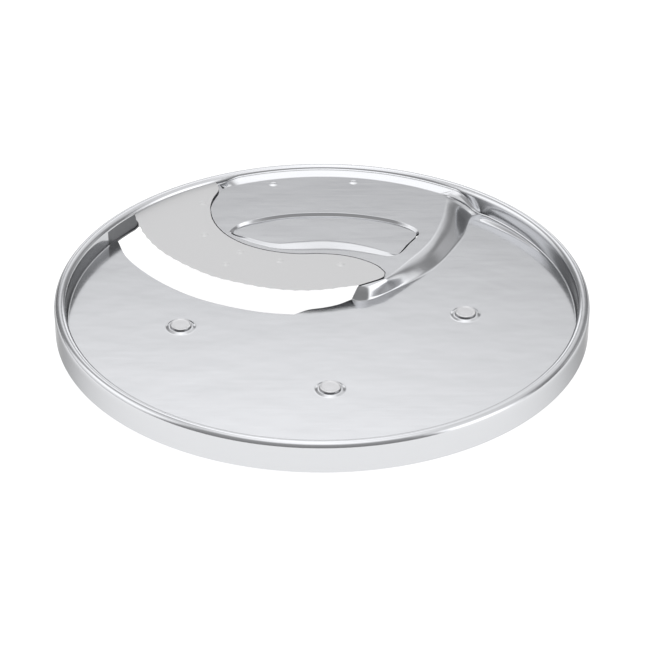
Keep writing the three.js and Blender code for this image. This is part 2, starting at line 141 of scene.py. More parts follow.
DISH_RIM = [(-34.3, 45), (-29.2, 39.9), (-23, 36), (-16, 33.2), (-8, 32.3), (2, 32.6), (11, 31.6),
            (19, 29.4), (25, 28), (28.4, 30.2), (32.3, 37), (36, 44.4), (34.5, 48.3), (28, 53.4),
            (19, 56.9), (9, 58.9), (-2, 59.3), (-13, 58.3), (-23, 55.3), (-31, 51)]
DISH_FLOOR = [(-32.6, 46), (-27.5, 43.4), (-22, 40.4), (-16, 39), (-8, 40.4), (1, 41.2),
              (10, 39.6), (18, 36.2), (23.6, 32.9), (27.3, 30.8), (31.2, 37.6), (34.9, 45),
              (33.8, 47.8), (27.7, 52.5), (18.8, 55.9), (9, 57.9), (-2, 58.3), (-12.9, 57.3),
              (-22.6, 54.4), (-30.5, 50.3)]
DISH_SLIT = (9, 11)                    # the points of both lines between which the slit is lanced
DISH_STEPS = 10                        # mesh steps between two points of the dish's lines
LANCE_LIP = 2.2                        # how far both edges of the slit are drawn down
BLADE_WELDS = [(-45, 66), (-43.5, 43.4), (-30, 31.2), (-15.5, 25.2), (7, 22.7), (-35, 23)]
PLATEAU_WELDS = [(-18.5, 80.2), (12, 81.6)]
WELD_STEPS = [(1.75, 0), (1.4, 0.035), (1.05, 0.1), (0.7, 0.15), (0.35, 0.17)]   # (radius, rise)
WELD_TOP, WELD_SIDES = 0.175, 28

# ---------------------------------------------------------------- lines and heights


# Heights over a point in plan: of the sheet's levels, and of the blade's underside
def plate(p):
    return PLATE_Z


def plateau(p):
    return PLATE_Z + CUT_HEIGHT + PLATEAU_RISE * (p[1] - CUT_Y)


def blade_underside(p):
    return plateau(p) - BLADE_T


def ledge(p):
    return plateau(p) - BLADE_T - SEAT


def dish_floor(p):
    return DISH_Z


def catmull(points, closed, per_span=40):
    """A centripetal Catmull-Rom curve through the points, sampled finely."""
    p = np.array(points, float)
    if closed:
        p = np.vstack([p[-1], p, p[0], p[1]])
    else:
        p = np.vstack([2 * p[0] - p[1], p, 2 * p[-1] - p[-2]])
    samples = []
    for a, b, c, d in zip(p, p[1:], p[2:], p[3:]):
        ab, bc, cd = (max(np.linalg.norm(v) ** 0.5, 1e-6) for v in (b - a, c - b, d - c))
        start = ((b - a) / ab - (c - a) / (ab + bc) + (c - b) / bc) * bc
        end = ((c - b) / bc - (d - b) / (bc + cd) + (d - c) / cd) * bc
        t = np.linspace(0, 1, per_span, endpoint=False)[:, None]
        samples.append(b + start * t + (3 * (c - b) - 2 * start - end) * t ** 2
                       + (2 * (b - c) + start + end) * t ** 3)
    return np.vstack(samples + [p[1:2] if closed else p[-2:-1]])


def spaced(line, segments):
    """The line again, as equal steps along its length."""
    length = np.concatenate([[0], np.cumsum(np.linalg.norm(np.diff(line, axis=0), axis=1))])
    at = np.linspace(0, length[-1], segments + 1)
    return np.stack([np.interp(at, length, line[:, k]) for k in range(line.shape[1])], 1)


def spline(points, segments):
    """An open curve through the points, in equal steps."""
    return spaced(catmull(points, False), segments)


def loop(points, steps):
    """A closed curve with the same number of steps between each two points."""
    return catmull(points, True, steps)[:-1]


def arc(radius, start, end, segments):
    """Part of a circle about the axis, between two azimuths."""
    return np.array([xy(radius, a) for a in np.linspace(start, end, segments + 1)])


def sideways(line, distance):
    """The same line moved to the left of its direction, or to the right if distance is negative."""
    along = np.gradient(line[:, :2], axis=0)
    along /= np.linalg.norm(along, axis=1)[:, None]
    return line[:, :2] + np.stack([-along[:, 1], along[:, 0]], 1) * distance


def lift(line, height):
    """A line in plan, raised to the height that a function gives at each point."""
    return np.array([(p[0], p[1], height(p)) for p in line])


def chain(*lines):
    """Lines that meet end to end, joined without their doubled points."""
    return np.vstack([lines[0]] + [line[1:] for line in lines[1:]])


def eased(t, foot, top):
    """From 0 to 1 along a straight slope that is rounded over a share of its run at foot and top."""
    peak = 1 / (1 - (foot + top) / 2)
    if t < foot:
        return peak * t * t / (2 * foot)
    if t > 1 - top:
        return 1 - peak * (1 - t) ** 2 / (2 * top)
    return peak * (t - foot / 2)


def smooth(t):
    """A smooth step from 0 to 1."""
    t = min(max(t, 0.0), 1.0)
    return t * t * (3 - 2 * t)


# ---------------------------------------------------------------- skins and solids

SHARP = math.cos(math.radians(32))     # faces that meet at more than this angle keep a hard edge
TURNED_SIDES = 96                      # sides of a turned piece


class Skin:
    """The top face of a sheet: triangles and quads on shared points. Points of flat fields are kept
    level when they are shaded, and the faces painted as shade take the dark material of the sheet's cut
    edges."""

    def __init__(self):
        self.points, self.known, self.faces, self.level = [], {}, [], {}
        self.torn_and_shaded = set()

    def point(self, p):
        """The index of a point, which is shared if there is one within half a micrometre."""
        key = tuple(round(float(c) * 2000) for c in p)
        if key not in self.known:
            self.known[key] = len(self.points)
            self.points.append(np.array(p, float))
        return self.known[key]

    def face(self, *corners):
        """A face on the corners, unless they fall together on a line or a point."""
        index = [self.point(p) for p in corners]
        index = [k for i, k in enumerate(index) if k != index[i - 1]]
        if len(index) > 2:
            self.faces.append(index)

    def band(self, right, left):
        """Quads between two lines with the same number of points."""
        for i in range(len(right) - 1):
            self.face(right[i], right[i + 1], left[i + 1], left[i])

    def slope(self, foot, top, rows, rounding=(0.3, 0.3)):
        """A pressed slope from one line to another; returns its last cross-section."""
        lines = []
        for k in range(rows + 1):
            t = k / rows
            line = foot + (top - foot) * t
            line[:, 2] = foot[:, 2] + (top[:, 2] - foot[:, 2]) * eased(t, *rounding)
            lines.append(line)
        for right, left in zip(lines, lines[1:]):
            self.band(right, left)
        return np.array([line[-1] for line in lines])

    def field(self, outline, holes, height):
        """A flat field inside an outline, less its holes."""
        loops = [[Vector((p[0], p[1], 0)) for p in line] for line in [outline, *holes]]
        flat = [p for line in loops for p in line]
        base = np.array([(p.x, p.y, height(p)) for p in flat])
        for a, b, c in tessellate_polygon(loops):
            turn = np.cross(base[b] - base[a], base[c] - base[a])
            if abs(turn[2]) < 1e-7:
                continue
            self.face(*(base[[a, b, c]] if turn[2] > 0 else base[[a, c, b]]))
        for p in base:
            self.level[self.point(p)] = np.array([0, 0, 1.0])

    def rings(self, centre, sizes, segments, height):
        """Round steps about a centre, as (radius, rise) from the outside in; returns the outer ring."""
        lines = []
        for radius, rise in sizes:
            ring = arc(radius, 0, 360, segments) + np.array(centre)
            lines.append(np.array([(p[0], p[1], height(p) + rise) for p in ring]))
        for right, left in zip(lines, lines[1:]):
            self.band(right, left)
        return lines[0][1:]


def face_normals(points, faces):
    """Each face's normal, as long as the face is large."""
    normals = np.zeros((len(faces), 3))
    for i, f in enumerate(faces):
        p = points[f]
        normals[i] = np.cross(p[1] - p[0], p[2] - p[0])
        if len(f) == 4:
            normals[i] += np.cross(p[2] - p[0], p[3] - p[0])
    return normals


def new_mesh(name, points, faces, materials, face_material, corner_normals):
    """A smooth-shaded piece in the scene, from points in millimetres."""
    mesh = bpy.data.meshes.new(name)
    mesh.from_pydata((np.asarray(points) * MM).tolist(), [], [list(map(int, f)) for f in faces])
    for material in materials:
        mesh.materials.append(material)
    if face_material is not None:
        mesh.polygons.foreach_set("material_index", np.array(face_material, np.int32))
    mesh.polygons.foreach_set("use_smooth", np.ones(len(faces), bool))
    mesh.normals_split_custom_set([tuple(n) for n in corner_normals])
    mesh.update()
    piece = bpy.data.objects.new(name, mesh)
    bpy.context.scene.collection.objects.link(piece)
    return piece


def thickened(name, skin, thickness, materials):
    """The skin as a closed sheet: its own face and an underside in the first material, and its cut
    edges and the faces painted dark as shade in the second."""
    points = np.array(skin.points)
    normals = face_normals(points, skin.faces)
    vertex = np.zeros_like(points)
    for normal, f in zip(normals, skin.faces):
        vertex[f] += normal
    vertex /= np.linalg.norm(vertex, axis=1)[:, None]
    under = points - vertex * thickness
    for k, level in skin.level.items():
        vertex[k] = level
    unit = normals / np.linalg.norm(normals, axis=1)[:, None]
    n, edges = len(points), {}
    faces, kinds, corners = [], [], []
    for i, (f, normal) in enumerate(zip(skin.faces, unit)):
        faces.append(f)
        # faces in the set are painted dark as shade with the cut-edge material
        kinds.append(1 if i in skin.torn_and_shaded else 0)
        corners += [vertex[k] if vertex[k] @ normal > SHARP else normal for k in f]
        for a, b in zip(f, f[1:] + f[:1]):
            edges[a, b] = True
    for f, normal in zip(skin.faces, unit):
        back = f[::-1]
        faces.append([n + k for k in back])
        kinds.append(0)
        corners += [-vertex[k] if vertex[k] @ normal > SHARP else -normal for k in back]
    both = np.vstack([points, under])
    for a, b in edges:
        if (b, a) not in edges:
            f = [b, a, n + a, n + b]
            normal = face_normals(both, [f])[0]
            faces.append(f)
            kinds.append(1)
            corners += [normal / np.linalg.norm(normal)] * 4
    return new_mesh(name, both, faces, materials, kinds, corners)


def creased(name, skin, materials, kinds=None):
    """A closed skin as a mesh that is smooth except where its faces meet at a sharp angle."""
    points = np.array(skin.points)
    normals = face_normals(points, skin.faces)
    touching = [[] for _ in points]
    for i, f in enumerate(skin.faces):
        for k in f:
            touching[k].append(i)
    unit = normals / np.maximum(np.linalg.norm(normals, axis=1), 1e-12)[:, None]
    corners = []
    for i, f in enumerate(skin.faces):
        for k in f:
            near = [j for j in touching[k] if unit[j] @ unit[i] > SHARP]
            total = normals[near].sum(0)
            if k in skin.level and skin.level[k] @ unit[i] > SHARP:
                total = skin.level[k]
            corners.append(total / np.linalg.norm(total))
    return new_mesh(name, points, skin.faces, materials, kinds, corners)


# ---------------------------------------------------------------- the pressed sheet


def crease_share(azimuth):
    """How much of the crease there is at an azimuth, from 0 to 1."""
    start, end = CREASE_FADES
    return smooth((azimuth - CREASE_START) / start) * smooth((NOTCH - azimuth) / end)


def foot_height(azimuth):
    """Height of the foot of the rim's wall, which climbs from the plate to the blade's ledge."""
    if azimuth > 360:
        return PLATE_Z + CREASE_LIFT * crease_share(azimuth - 360)
    deeper = smooth((azimuth - LIFT_END) / (CUT_END - LIFT_END))
    depth = (BLADE_T + SEAT + SHOULDER_LIFT) * deeper - SHOULDER_LIFT
    if azimuth < CUT_END:
        climbed = smooth((azimuth - NOTCH) / (SHOULDER_START - NOTCH))
    else:
        climbed = smooth((WALL_LOW - azimuth) / (WALL_LOW - LEDGE_END))
    return PLATE_Z + (plateau(xy(FOOT_R, azimuth)) - depth - PLATE_Z) * climbed


def crease(skin, foot):
    """A shallow crease that the pressing leaves in the plate, closing in on the rim; returns its
    end across the notch and its inner line."""
    azimuths = np.linspace(CREASE_START, NOTCH, len(foot))
    width = CREASE_SPREAD * (azimuths - CREASE_START)
    share = np.array([crease_share(a) for a in azimuths])

    def line(inward, rise):
        """A line that keeps a distance from the rim's foot, with its rise over the plate."""
        radius, turn = FOOT_R - inward, np.radians(azimuths)
        return np.stack([radius * np.cos(turn), radius * np.sin(turn), PLATE_Z + rise * share], 1)

    outer = line(np.minimum(CREST_SHARE * width, CREST_MOST), CREASE_CREST)
    inner, edge = line(width * TROUGH_SHARE, -CREASE_DIP), line(width, 0)
    ends = [skin.slope(foot, outer, 4), skin.slope(outer, inner, 8), skin.slope(inner, edge, 4)]
    return chain(*ends), edge


def rim_section(azimuth):
    """The sheet's section from the foot of the wall over the rolled bead to the skirt's edge."""
    low = foot_height(azimuth)
    up = CREST_Z - low
    tall = smooth((up - DIP_HEIGHT) / TALL_RUN)
    rises = (0, 0.06, 0.35, 0.5 * (up - BEAD))
    section = [(radius, low + (rise * tall + dip * (1 - tall)))
               for radius, rise, dip in zip(WALL_R, rises, WALL_DIP)]
    inner = math.acos(max(0.0, 1 - (up + BEAD_TUCK) / BEAD))
    turns = [-inner * k / 4 for k in (4, 3, 2, 1)] + [math.pi / 8 * k for k in range(5)]
    section += [(BEAD_R + BEAD * math.sin(t), CREST_Z - BEAD * (1 - math.cos(t))) for t in turns]
    section += [(BEAD_R + BEAD, CREST_Z - SKIRT_TOP), (BEAD_R + BEAD, SKIRT_Z)]
    return catmull(section, False, 4)


def rim(skin, start, end):
    """Sweeps the rim between two azimuths and returns the foot of its wall."""
    steps = max(2, round((end - start) / RIM_STEP))
    sections = []
    for azimuth in np.linspace(start, end, steps + 1):
        section = rim_section(azimuth)
        cos, sin = math.cos(math.radians(azimuth)), math.sin(math.radians(azimuth))
        sections.append(np.stack([section[:, 0] * cos, section[:, 0] * sin, section[:, 1]], 1))
    for before, after in zip(sections, sections[1:]):
        skin.band(before, after)
    return np.array([section[0] for section in sections])


def shaded_wall(skin):
    """The rim beside the slot's end, its wall painted dark as shade from its foot to the bead."""
    start = len(skin.faces)
    rim(skin, BLADE_AZ, SLOT_END)
    shaded_wall_foot = rim(skin, SLOT_END, DARK_WALL_END)
    spans = len(rim_section(SLOT_END)) - 1
    # the wall's faces from foot to bead take the dark edge steel: painted shade
    skin.torn_and_shaded.update(k for k in range(start, len(skin.faces)) if (k - start) % spans < WALL_SPANS)
    return shaded_wall_foot


def weld(skin, centre, height):
    """The low round bump that a spot weld leaves; returns its foot."""
    foot = skin.rings(centre, WELD_STEPS, WELD_SIDES, height)
    radius, rise = WELD_STEPS[-1]
    last = arc(radius, 0, 360, WELD_SIDES) + np.array(centre)
    top = [(p[0], p[1], height(p) + rise) for p in last]
    for a, b in zip(top, top[1:]):
        skin.face((centre[0], centre[1], height(centre) + WELD_TOP), a, b)
    return foot


def boss(skin, azimuth):
    """The raised seat that a rivet goes through; returns its foot."""
    width = BOSS_FOOT - BOSS_TOP
    steps = [(BOSS_FOOT - width * t, BOSS_RISE * eased(t, *BOSS_ROUNDING)) for t in np.linspace(0, 1, 9)]
    return skin.rings(xy(RIVET_R, azimuth), steps + [(BOSS_HOLE, BOSS_RISE)], BOSS_SIDES, plate)


def dish(skin):
    """The crescent dish, with a slit lanced through its right end; returns its rim in plan."""
    rim_line, floor_line = loop(DISH_RIM, DISH_STEPS), loop(DISH_FLOOR, DISH_STEPS)
    inside = lift(floor_line, dish_floor)
    lanced, shut = (k * DISH_STEPS for k in DISH_SLIT)
    outer = lift(rim_line, plateau)
    skin.slope(np.vstack([outer[shut:], outer[:lanced + 1]]),
               np.vstack([inside[shut:], inside[:lanced + 1]]), DISH_ROWS, DISH_ROUNDING)
    skin.field(inside, [], dish_floor)
    low_edge, high_edge = inside[lanced:shut + 1], outer[lanced:shut + 1]
    low_lip, high_lip = low_edge - (0, 0, LANCE_LIP), high_edge - (0, 0, LANCE_LIP)
    # The slit's edges are drawn down as lips in the dark edge steel: painted shade, so that the slit reads
    # black.
    start = len(skin.faces)
    skin.band(low_lip, low_edge)
    skin.band(high_lip, low_lip)
    skin.band(high_edge, high_lip)
    skin.torn_and_shaded.update(range(start, len(skin.faces)))
    return rim_line


def behind_blade():
    """The plateau's edge along the slit behind the blade, from the shoulder inwards."""
    back = spline(BLADE_BACK, 150)
    (opens, opening), (closes, closing) = SLIT_OPENS, SLIT_CLOSES
    wide = np.array([smooth((y - opens) / opening) * smooth((closes - y) / closing) for y in back[:, 1]])
    behind = (back + (sideways(back, -1) - back) * (SLIT + SLIT_MORE * wide)[:, None])[::-1]
    return behind[np.linalg.norm(behind, axis=1) < SHOULDER_R - SLIT_SHORT]


def pressed_sheet(materials):
    """The whole pressing: rim, plate, ramp, plateau with its dish, shoulder, and the blade's ledge."""
    skin = Skin()
    plate_foot = chain(shaded_wall(skin), rim(skin, DARK_WALL_END, CREASE_START + 360))
    crease_end, crease_line = crease(skin, rim(skin, CREASE_START + 360, NOTCH + 360))
    notch_foot = rim(skin, NOTCH, SHOULDER_START)
    shoulder_foot = rim(skin, SHOULDER_START, CUT_END)
    ledge_foot = rim(skin, CUT_END, LEDGE_END)
    rim(skin, LEDGE_END, BLADE_AZ)

    slot_front, tongue = spline(SLOT_FRONT, 90), spline(SLOT_TONGUE, 28)
    foot_low, foot, foot_end = spline(RAMP_FOOT_LOW, 24), spline(RAMP_FOOT, 72), spline(RAMP_FOOT_END, 16)
    top_low, top = spline(RAMP_TOP_LOW, 24), spline(RAMP_TOP, 72)
    top_end = spline(RAMP_TOP_END, 16 + len(notch_foot) - 1)
    shoulder_top = arc(SHOULDER_R, SHOULDER_CORNER, CUT_END, len(shoulder_foot) - 1)

    holes = [boss(skin, azimuth) for azimuth in RIVET_AZIMUTHS]
    rim_side = chain(crease_end, crease_line[::-1], plate_foot[::-1])[:, :2]
    outline = chain(slot_front, tongue, foot_low, foot, foot_end, rim_side)[1:]
    skin.field(outline, holes, plate)

    ramp_feet = [lift(foot_low, plate), lift(foot, plate), chain(lift(foot_end, plate), notch_foot)]
    for ramp_foot, ramp_top in zip(ramp_feet, (top_low, top, top_end)):
        skin.slope(ramp_foot, lift(ramp_top, plateau), RAMP_ROWS, RAMP_ROUNDING)
    cut_end = skin.slope(shoulder_foot, lift(shoulder_top, plateau), SHOULDER_ROWS, SHOULDER_ROUNDING)
    rim_line = dish(skin)
    behind = behind_blade()
    welds = [weld(skin, centre, plateau) for centre in PLATEAU_WELDS]
    outline = chain(top, top_end, shoulder_top, np.vstack([cut_end[-1:, :2], behind]))
    skin.field(outline, [rim_line, *welds], plateau)

    step_top = np.vstack([cut_end, lift(behind, plateau)])
    step_foot = lift(sideways(step_top, -SLIT / 2), ledge)
    step_foot[0] = step_top[0]
    skin.band(step_foot, step_top)
    ledge_front = spline(LEDGE_FRONT, 80)
    skin.field(np.vstack([step_foot[:, :2], ledge_front, ledge_foot[::-1, :2][1:-1]]), [], ledge)
    return thickened("pressed_sheet", skin, SHEET, materials)


# ---------------------------------------------------------------- the blade

SCALLOP, SCALLOP_DEPTH = 4.6, 0.34     # pitch and depth of the wavy cutting edge
TOOTH, TOOTH_DEPTH = 0.9, 0.14         # fine serrations on top of it
EDGE_FADE = 6                          # both start from nothing over this length at the edge's ends
GROUND = 3.0                           # width of the bevel ground under the edge
FLUTE, FLUTE_PITCH = 1.3, 1.05         # width and pitch of the fine flutes along the bevel's edge
FLUTE_DROP, FLUTE_DEPTH = 0.34, 0.16   # how far the flutes' crests drop from the top, and their depth
BEVEL_ENDS = (15.6, 11.4), xy(BLADE_R, 138.3)   # of the bevel's lower line


def serrated(line):
    """The cutting edge: shallow scallops with fine teeth between their points."""
    length = np.concatenate([[0], np.cumsum(np.linalg.norm(np.diff(line, axis=0), axis=1))])
    fade = np.clip(np.minimum(length, length[-1] - length) / EDGE_FADE, 0, 1)
    scallop = SCALLOP_DEPTH * np.abs(np.sin(math.pi * length / SCALLOP))
    tooth = TOOTH_DEPTH * np.abs(2 * ((length / TOOTH) % 1) - 1)
    inward = (scallop + tooth) * fade
    along = np.gradient(line, axis=0)
    along /= np.linalg.norm(along, axis=1)[:, None]
    return line + np.stack([along[:, 1], -along[:, 0]], 1) * inward[:, None]


def blade(materials):
    """The flat blade with its spot welds, and a fluted bevel under the whole cutting edge."""
    smooth_edge = spline(BLADE_EDGE, 900)
    edge = serrated(smooth_edge)
    ground = sideways(smooth_edge, -GROUND)
    ground[0], ground[-1] = BEVEL_ENDS
    rest = chain(arc(BLADE_R, BLADE_FRONT_AZ, BLADE_BACK_AZ, 32), spline(BLADE_BACK, 150)[::-1],
                 spline(BLADE_END, 24))[1:-1]
    top, low = np.vstack([edge, rest]), np.vstack([ground, rest])
    skin = Skin()
    welds = [weld(skin, centre, plateau) for centre in BLADE_WELDS]
    skin.field(top, welds, plateau)
    above, below = lift(top, plateau), lift(low, blade_underside)
    n = len(edge)
    flutes = sideways(smooth_edge, -FLUTE)
    along = np.linspace(0, np.linalg.norm(np.diff(smooth_edge, axis=0), axis=1).sum(), n)
    depth = FLUTE_DROP + FLUTE_DEPTH * np.abs(2 * ((along / FLUTE_PITCH) % 1) - 1)
    flutes = np.array([(p[0], p[1], plateau(p) - d) for p, d in zip(flutes, depth)])
    flutes[0], flutes[-1] = (above[0] + below[0]) / 2, (above[n - 1] + below[n - 1]) / 2
    start = len(skin.faces)
    skin.band(above[:n], flutes)
    fluted = len(skin.faces)
    skin.band(flutes, below[:n])
    skin.face(above[n - 1], above[n], below[n], below[n - 1], flutes[-1])
    skin.band(above[n:], below[n:])
    skin.face(above[-1], above[0], flutes[0], below[0], below[-1])
    flat = Skin()
    flat.field(low, [], blade_underside)
    for f in flat.faces:
        skin.face(*(flat.points[k] for k in reversed(f)))
    # Kind 2, the lower bevel, the edges and the underside, take the steel painted dark as shade.
    kinds = np.full(len(skin.faces), 2)
    kinds[:start] = 0
    kinds[start:fluted] = 1
    return creased("serrated_blade", skin, materials, kinds)


# ---------------------------------------------------------------- rivets and washers


def turned(name, profile, material):
    """A turned piece on the Z axis, from its profile as (radius, height), which starts and ends on
    the axis or at the same point."""
    skin = Skin()
    rings = [[(p[0], p[1], z) for p in arc(radius, 0, 360, TURNED_SIDES)] for radius, z in profile]
    for before, after in zip(rings, rings[1:]):
        skin.band(before, after)
    return creased(name, skin, [material])


def on_rivet_circle(name, pattern, material):
    """Copies of a turned pattern on the rivet circle, one at each of the three azimuths."""
    tree = bpy.data.node_groups.new(name + "_on_circle", "GeometryNodeTree")
    tree.interface.new_socket(name="Geometry", in_out="OUTPUT", socket_type="NodeSocketGeometry")
    values = {"Radius": RIVET_R * MM}
    values |= {f"Azimuth {k + 1}": math.radians(a) for k, a in enumerate(RIVET_AZIMUTHS)}
    for label in values:
        tree.interface.new_socket(name=label, in_out="INPUT", socket_type="NodeSocketFloat")
    group_in = tree.nodes.new("NodeGroupInput")
    join = tree.nodes.new("GeometryNodeJoinGeometry")
    info = tree.nodes.new("GeometryNodeObjectInfo")
    info.inputs["Object"].default_value = pattern
    for k in range(len(RIVET_AZIMUTHS)):
        turn = tree.nodes.new("ShaderNodeCombineXYZ")
        tree.links.new(group_in.outputs[f"Azimuth {k + 1}"], turn.inputs["Z"])
        reach = tree.nodes.new("ShaderNodeCombineXYZ")
        tree.links.new(group_in.outputs["Radius"], reach.inputs["X"])
        swing = tree.nodes.new("ShaderNodeVectorRotate")
        swing.rotation_type = "EULER_XYZ"
        tree.links.new(reach.outputs[0], swing.inputs["Vector"])
        tree.links.new(turn.outputs[0], swing.inputs["Rotation"])
        point = tree.nodes.new("GeometryNodePoints")
        tree.links.new(swing.outputs[0], point.inputs["Position"])
        copy = tree.nodes.new("GeometryNodeInstanceOnPoints")
        tree.links.new(point.outputs[0], copy.inputs["Points"])
        tree.links.new(info.outputs["Geometry"], copy.inputs["Instance"])
        tree.links.new(turn.outputs[0], copy.inputs["Rotation"])
        tree.links.new(copy.outputs[0], join.inputs[0])
    real = tree.nodes.new("GeometryNodeRealizeInstances")
    paint = tree.nodes.new("GeometryNodeSetMaterial")
    paint.inputs["Material"].default_value = material
    group_out = tree.nodes.new("NodeGroupOutput")
    tree.links.new(join.outputs[0], real.inputs[0])
    tree.links.new(real.outputs[0], paint.inputs["Geometry"])
    tree.links.new(paint.outputs[0], group_out.inputs[0])

    carrier = bpy.data.objects.new(name, bpy.data.meshes.new(name + "_seed"))
    bpy.context.scene.collection.objects.link(carrier)
    modifier = carrier.modifiers.new("Copies", "NODES")
    modifier.node_group = tree
    for item in tree.interface.items_tree:
        if item.item_type == "SOCKET" and item.in_out == "INPUT":
            modifier[item.identifier] = values[item.name]
    bpy.context.view_layer.update()
    graph = bpy.context.evaluated_depsgraph_get()
    mesh = bpy.data.meshes.new_from_object(carrier.evaluated_get(graph))
    bpy.data.objects.remove(carrier)
    bpy.data.objects.remove(pattern)
    mesh.name = name
    piece = bpy.data.objects.new(name, mesh)
    bpy.context.scene.collection.objects.link(piece)
    return piece


WASHER_T = 0.6
WASHER_LOW = ARM_LOW - SEAT - WASHER_T
HEAD_GAP, HEAD_T = 0.04, 0.78          # air under a rivet's head, and the head's height
TAIL_GAP = 0.05                        # air between a rivet's tail and its washer
JOIN_WITHIN = 0.01                     # points of a CAD solid that are one point
EDGE_SEGMENTS, EDGE_ANGLE = 3, math.radians(35)   # of the rounding that CAD edges get


def rivets(material):
    """Rivets with a flat, slightly sunk head above the sheet and an upset tail below the arms."""
    head_low = PLATE_Z + BOSS_RISE + HEAD_GAP
    top = head_low + HEAD_T
    tail_top = WASHER_LOW - TAIL_GAP
    profile = [(0, tail_top - 1), (1.6, tail_top - 1), (2.6, tail_top - 0.86), (3.15, tail_top - 0.55),
               (3.4, tail_top - 0.2), (3.4, tail_top), (2.2, tail_top), (2.2, head_low),
               (3.66, head_low), (3.8, head_low + 0.12), (3.8, top - 0.26), (3.74, top - 0.12),
               (3.6, top - 0.03), (3.45, top), (3.3, top - 0.02), (3.18, top - 0.09),
               (3.05, top - 0.13), (2.7, top - 0.14), (1.4, top - 0.13), (0, top - 0.12)]
    return on_rivet_circle("rivets", turned("rivet_pattern", profile, material), material)


def washers(material):
    """Punched washers with broken edges, between the arms and the rivets' tails."""
    low, top = WASHER_LOW, WASHER_LOW + WASHER_T
    profile = [(2.4, low + 0.1), (2.5, low), (4.65, low), (4.8, low + 0.12), (4.8, top - 0.08),
               (4.65, top), (2.5, top), (2.4, top - 0.1), (2.4, low + 0.1)]
    return on_rivet_circle("rivet_washers", turned("washer_pattern", profile, material), material)


def refined(cad_node, name, material, width):
    """A CAD node's solid with its edges rounded, as the real moulding or turning has them."""
    piece = bpy.data.objects.new(name, frame["nodes"][cad_node].data.copy())
    bpy.context.scene.collection.objects.link(piece)
    piece.data.materials.clear()
    piece.data.materials.append(material)
    join = piece.modifiers.new("Join", "WELD")
    join.merge_threshold = JOIN_WITHIN * MM
    bevel = piece.modifiers.new("Edges", "BEVEL")
    bevel.width = width * MM
    bevel.segments = EDGE_SEGMENTS
    bevel.limit_method = "ANGLE"
    bevel.angle_limit = EDGE_ANGLE
    bevel.use_clamp_overlap = True
    bevel.harden_normals = True
    graph = bpy.context.evaluated_depsgraph_get()
    mesh = bpy.data.meshes.new_from_object(piece.evaluated_get(graph))
    piece.modifiers.clear()
    piece.data = mesh
    mesh.name = name
    mesh.polygons.foreach_set("use_smooth", np.ones(len(mesh.polygons), bool))
    return piece


# ---------------------------------------------------------------- materials


def srgb(code):
    """A colour given as hex digits, as the linear values that the shader sockets take."""
    parts = [int(code[i:i + 2], 16) / 255 for i in (0, 2, 4)]
    return (*[c / 12.92 if c <= 0.04045 else ((c + 0.055) / 1.055) ** 2.4 for c in parts], 1)


def node(tree, kind, settings=None, links=None, **values):
    """Adds a node: settings are its properties, values its sockets, links its inputs' sources."""
    made = tree.nodes.new(kind)
    for key, value in (settings or {}).items():
        setattr(made, key, value)
    for key, value in values.items():
        made.inputs[key.replace("_", " ")].default_value = value
    for key, source in (links or {}).items():
        tree.links.new(source, made.inputs[key])
    return made


def new_material(name):
    """An empty material and its node tree."""
    material = bpy.data.materials.new(name)
    material.use_nodes = True
    material.node_tree.nodes.clear()
    return material, material.node_tree


def shade(tree, base, metallic, roughness, normal=None, **more):
    """Ends a material; its roughness is a value or another node's output."""
    surface = node(tree, "ShaderNodeBsdfPrincipled", Base_Color=base, Metallic=metallic, **more)
    if isinstance(roughness, float):
        surface.inputs["Roughness"].default_value = roughness
    else:
        tree.links.new(roughness, surface.inputs["Roughness"])
    if normal is not None:
        tree.links.new(normal, surface.inputs["Normal"])
    node(tree, "ShaderNodeOutputMaterial", links={"Surface": surface.outputs[0]})


def stretched(tree, along, across, up=None):
    """Object coordinates scaled so that one unit is the given number of millimetres each way."""
    place = node(tree, "ShaderNodeTexCoord")
    scale = Vector((1 / (along * MM), 1 / (across * MM), 1 / ((up or across) * MM)))
    mapped = node(tree, "ShaderNodeMapping", Scale=scale, links={"Vector": place.outputs["Object"]})
    return mapped.outputs[0]


def ranged(tree, value, low, high, source=(0.3, 0.7)):
    """A noise value spread between two levels; source is the part of its range that is used."""
    return node(tree, "ShaderNodeMapRange", From_Min=source[0], From_Max=source[1], To_Min=low,
                To_Max=high, links={"Value": value}).outputs[0]


def rolled_sheet():
    """Stainless sheet, bright rolled and then tumbled: faint rolling lines and a soft mottle."""
    material, tree = new_material("stainless_sheet_rolled_and_tumbled")
    lines = node(tree, "ShaderNodeTexNoise", Scale=1.0, Detail=4.0, Roughness=0.6,
                 links={"Vector": stretched(tree, 26, 0.9)})
    mottle = node(tree, "ShaderNodeTexNoise", Scale=1.0, Detail=2.0, Roughness=0.45,
                  links={"Vector": stretched(tree, 17, 12)})
    rolled = node(tree, "ShaderNodeBump", Strength=1.0, Distance=0.0016 * MM,
                  links={"Height": lines.outputs[0]})
    waved = node(tree, "ShaderNodeBump", Strength=1.0, Distance=0.055 * MM,
                 links={"Height": mottle.outputs[0], "Normal": rolled.outputs[0]})
    roughness = ranged(tree, lines.outputs[0], 0.13, 0.19)
    shade(tree, srgb("D3D4D6"), 1.0, roughness, waved.outputs[0], Specular_Tint=srgb("ACACAC"))
    return material


def ground_blade():
    """Blade steel with a fine satin grind over its face."""
    material, tree = new_material("blade_steel_satin_ground")
    grain = node(tree, "ShaderNodeTexNoise", Scale=1.0, Detail=3.0, Roughness=0.6,
                 links={"Vector": stretched(tree, 0.5, 0.35)})
    bump = node(tree, "ShaderNodeBump", Strength=1.0, Distance=0.0008 * MM,
                links={"Height": grain.outputs[0]})
    roughness = ranged(tree, grain.outputs[0], 0.33, 0.4)
    shade(tree, srgb("C4C4C4"), 1.0, roughness, bump.outputs[0])
    return material


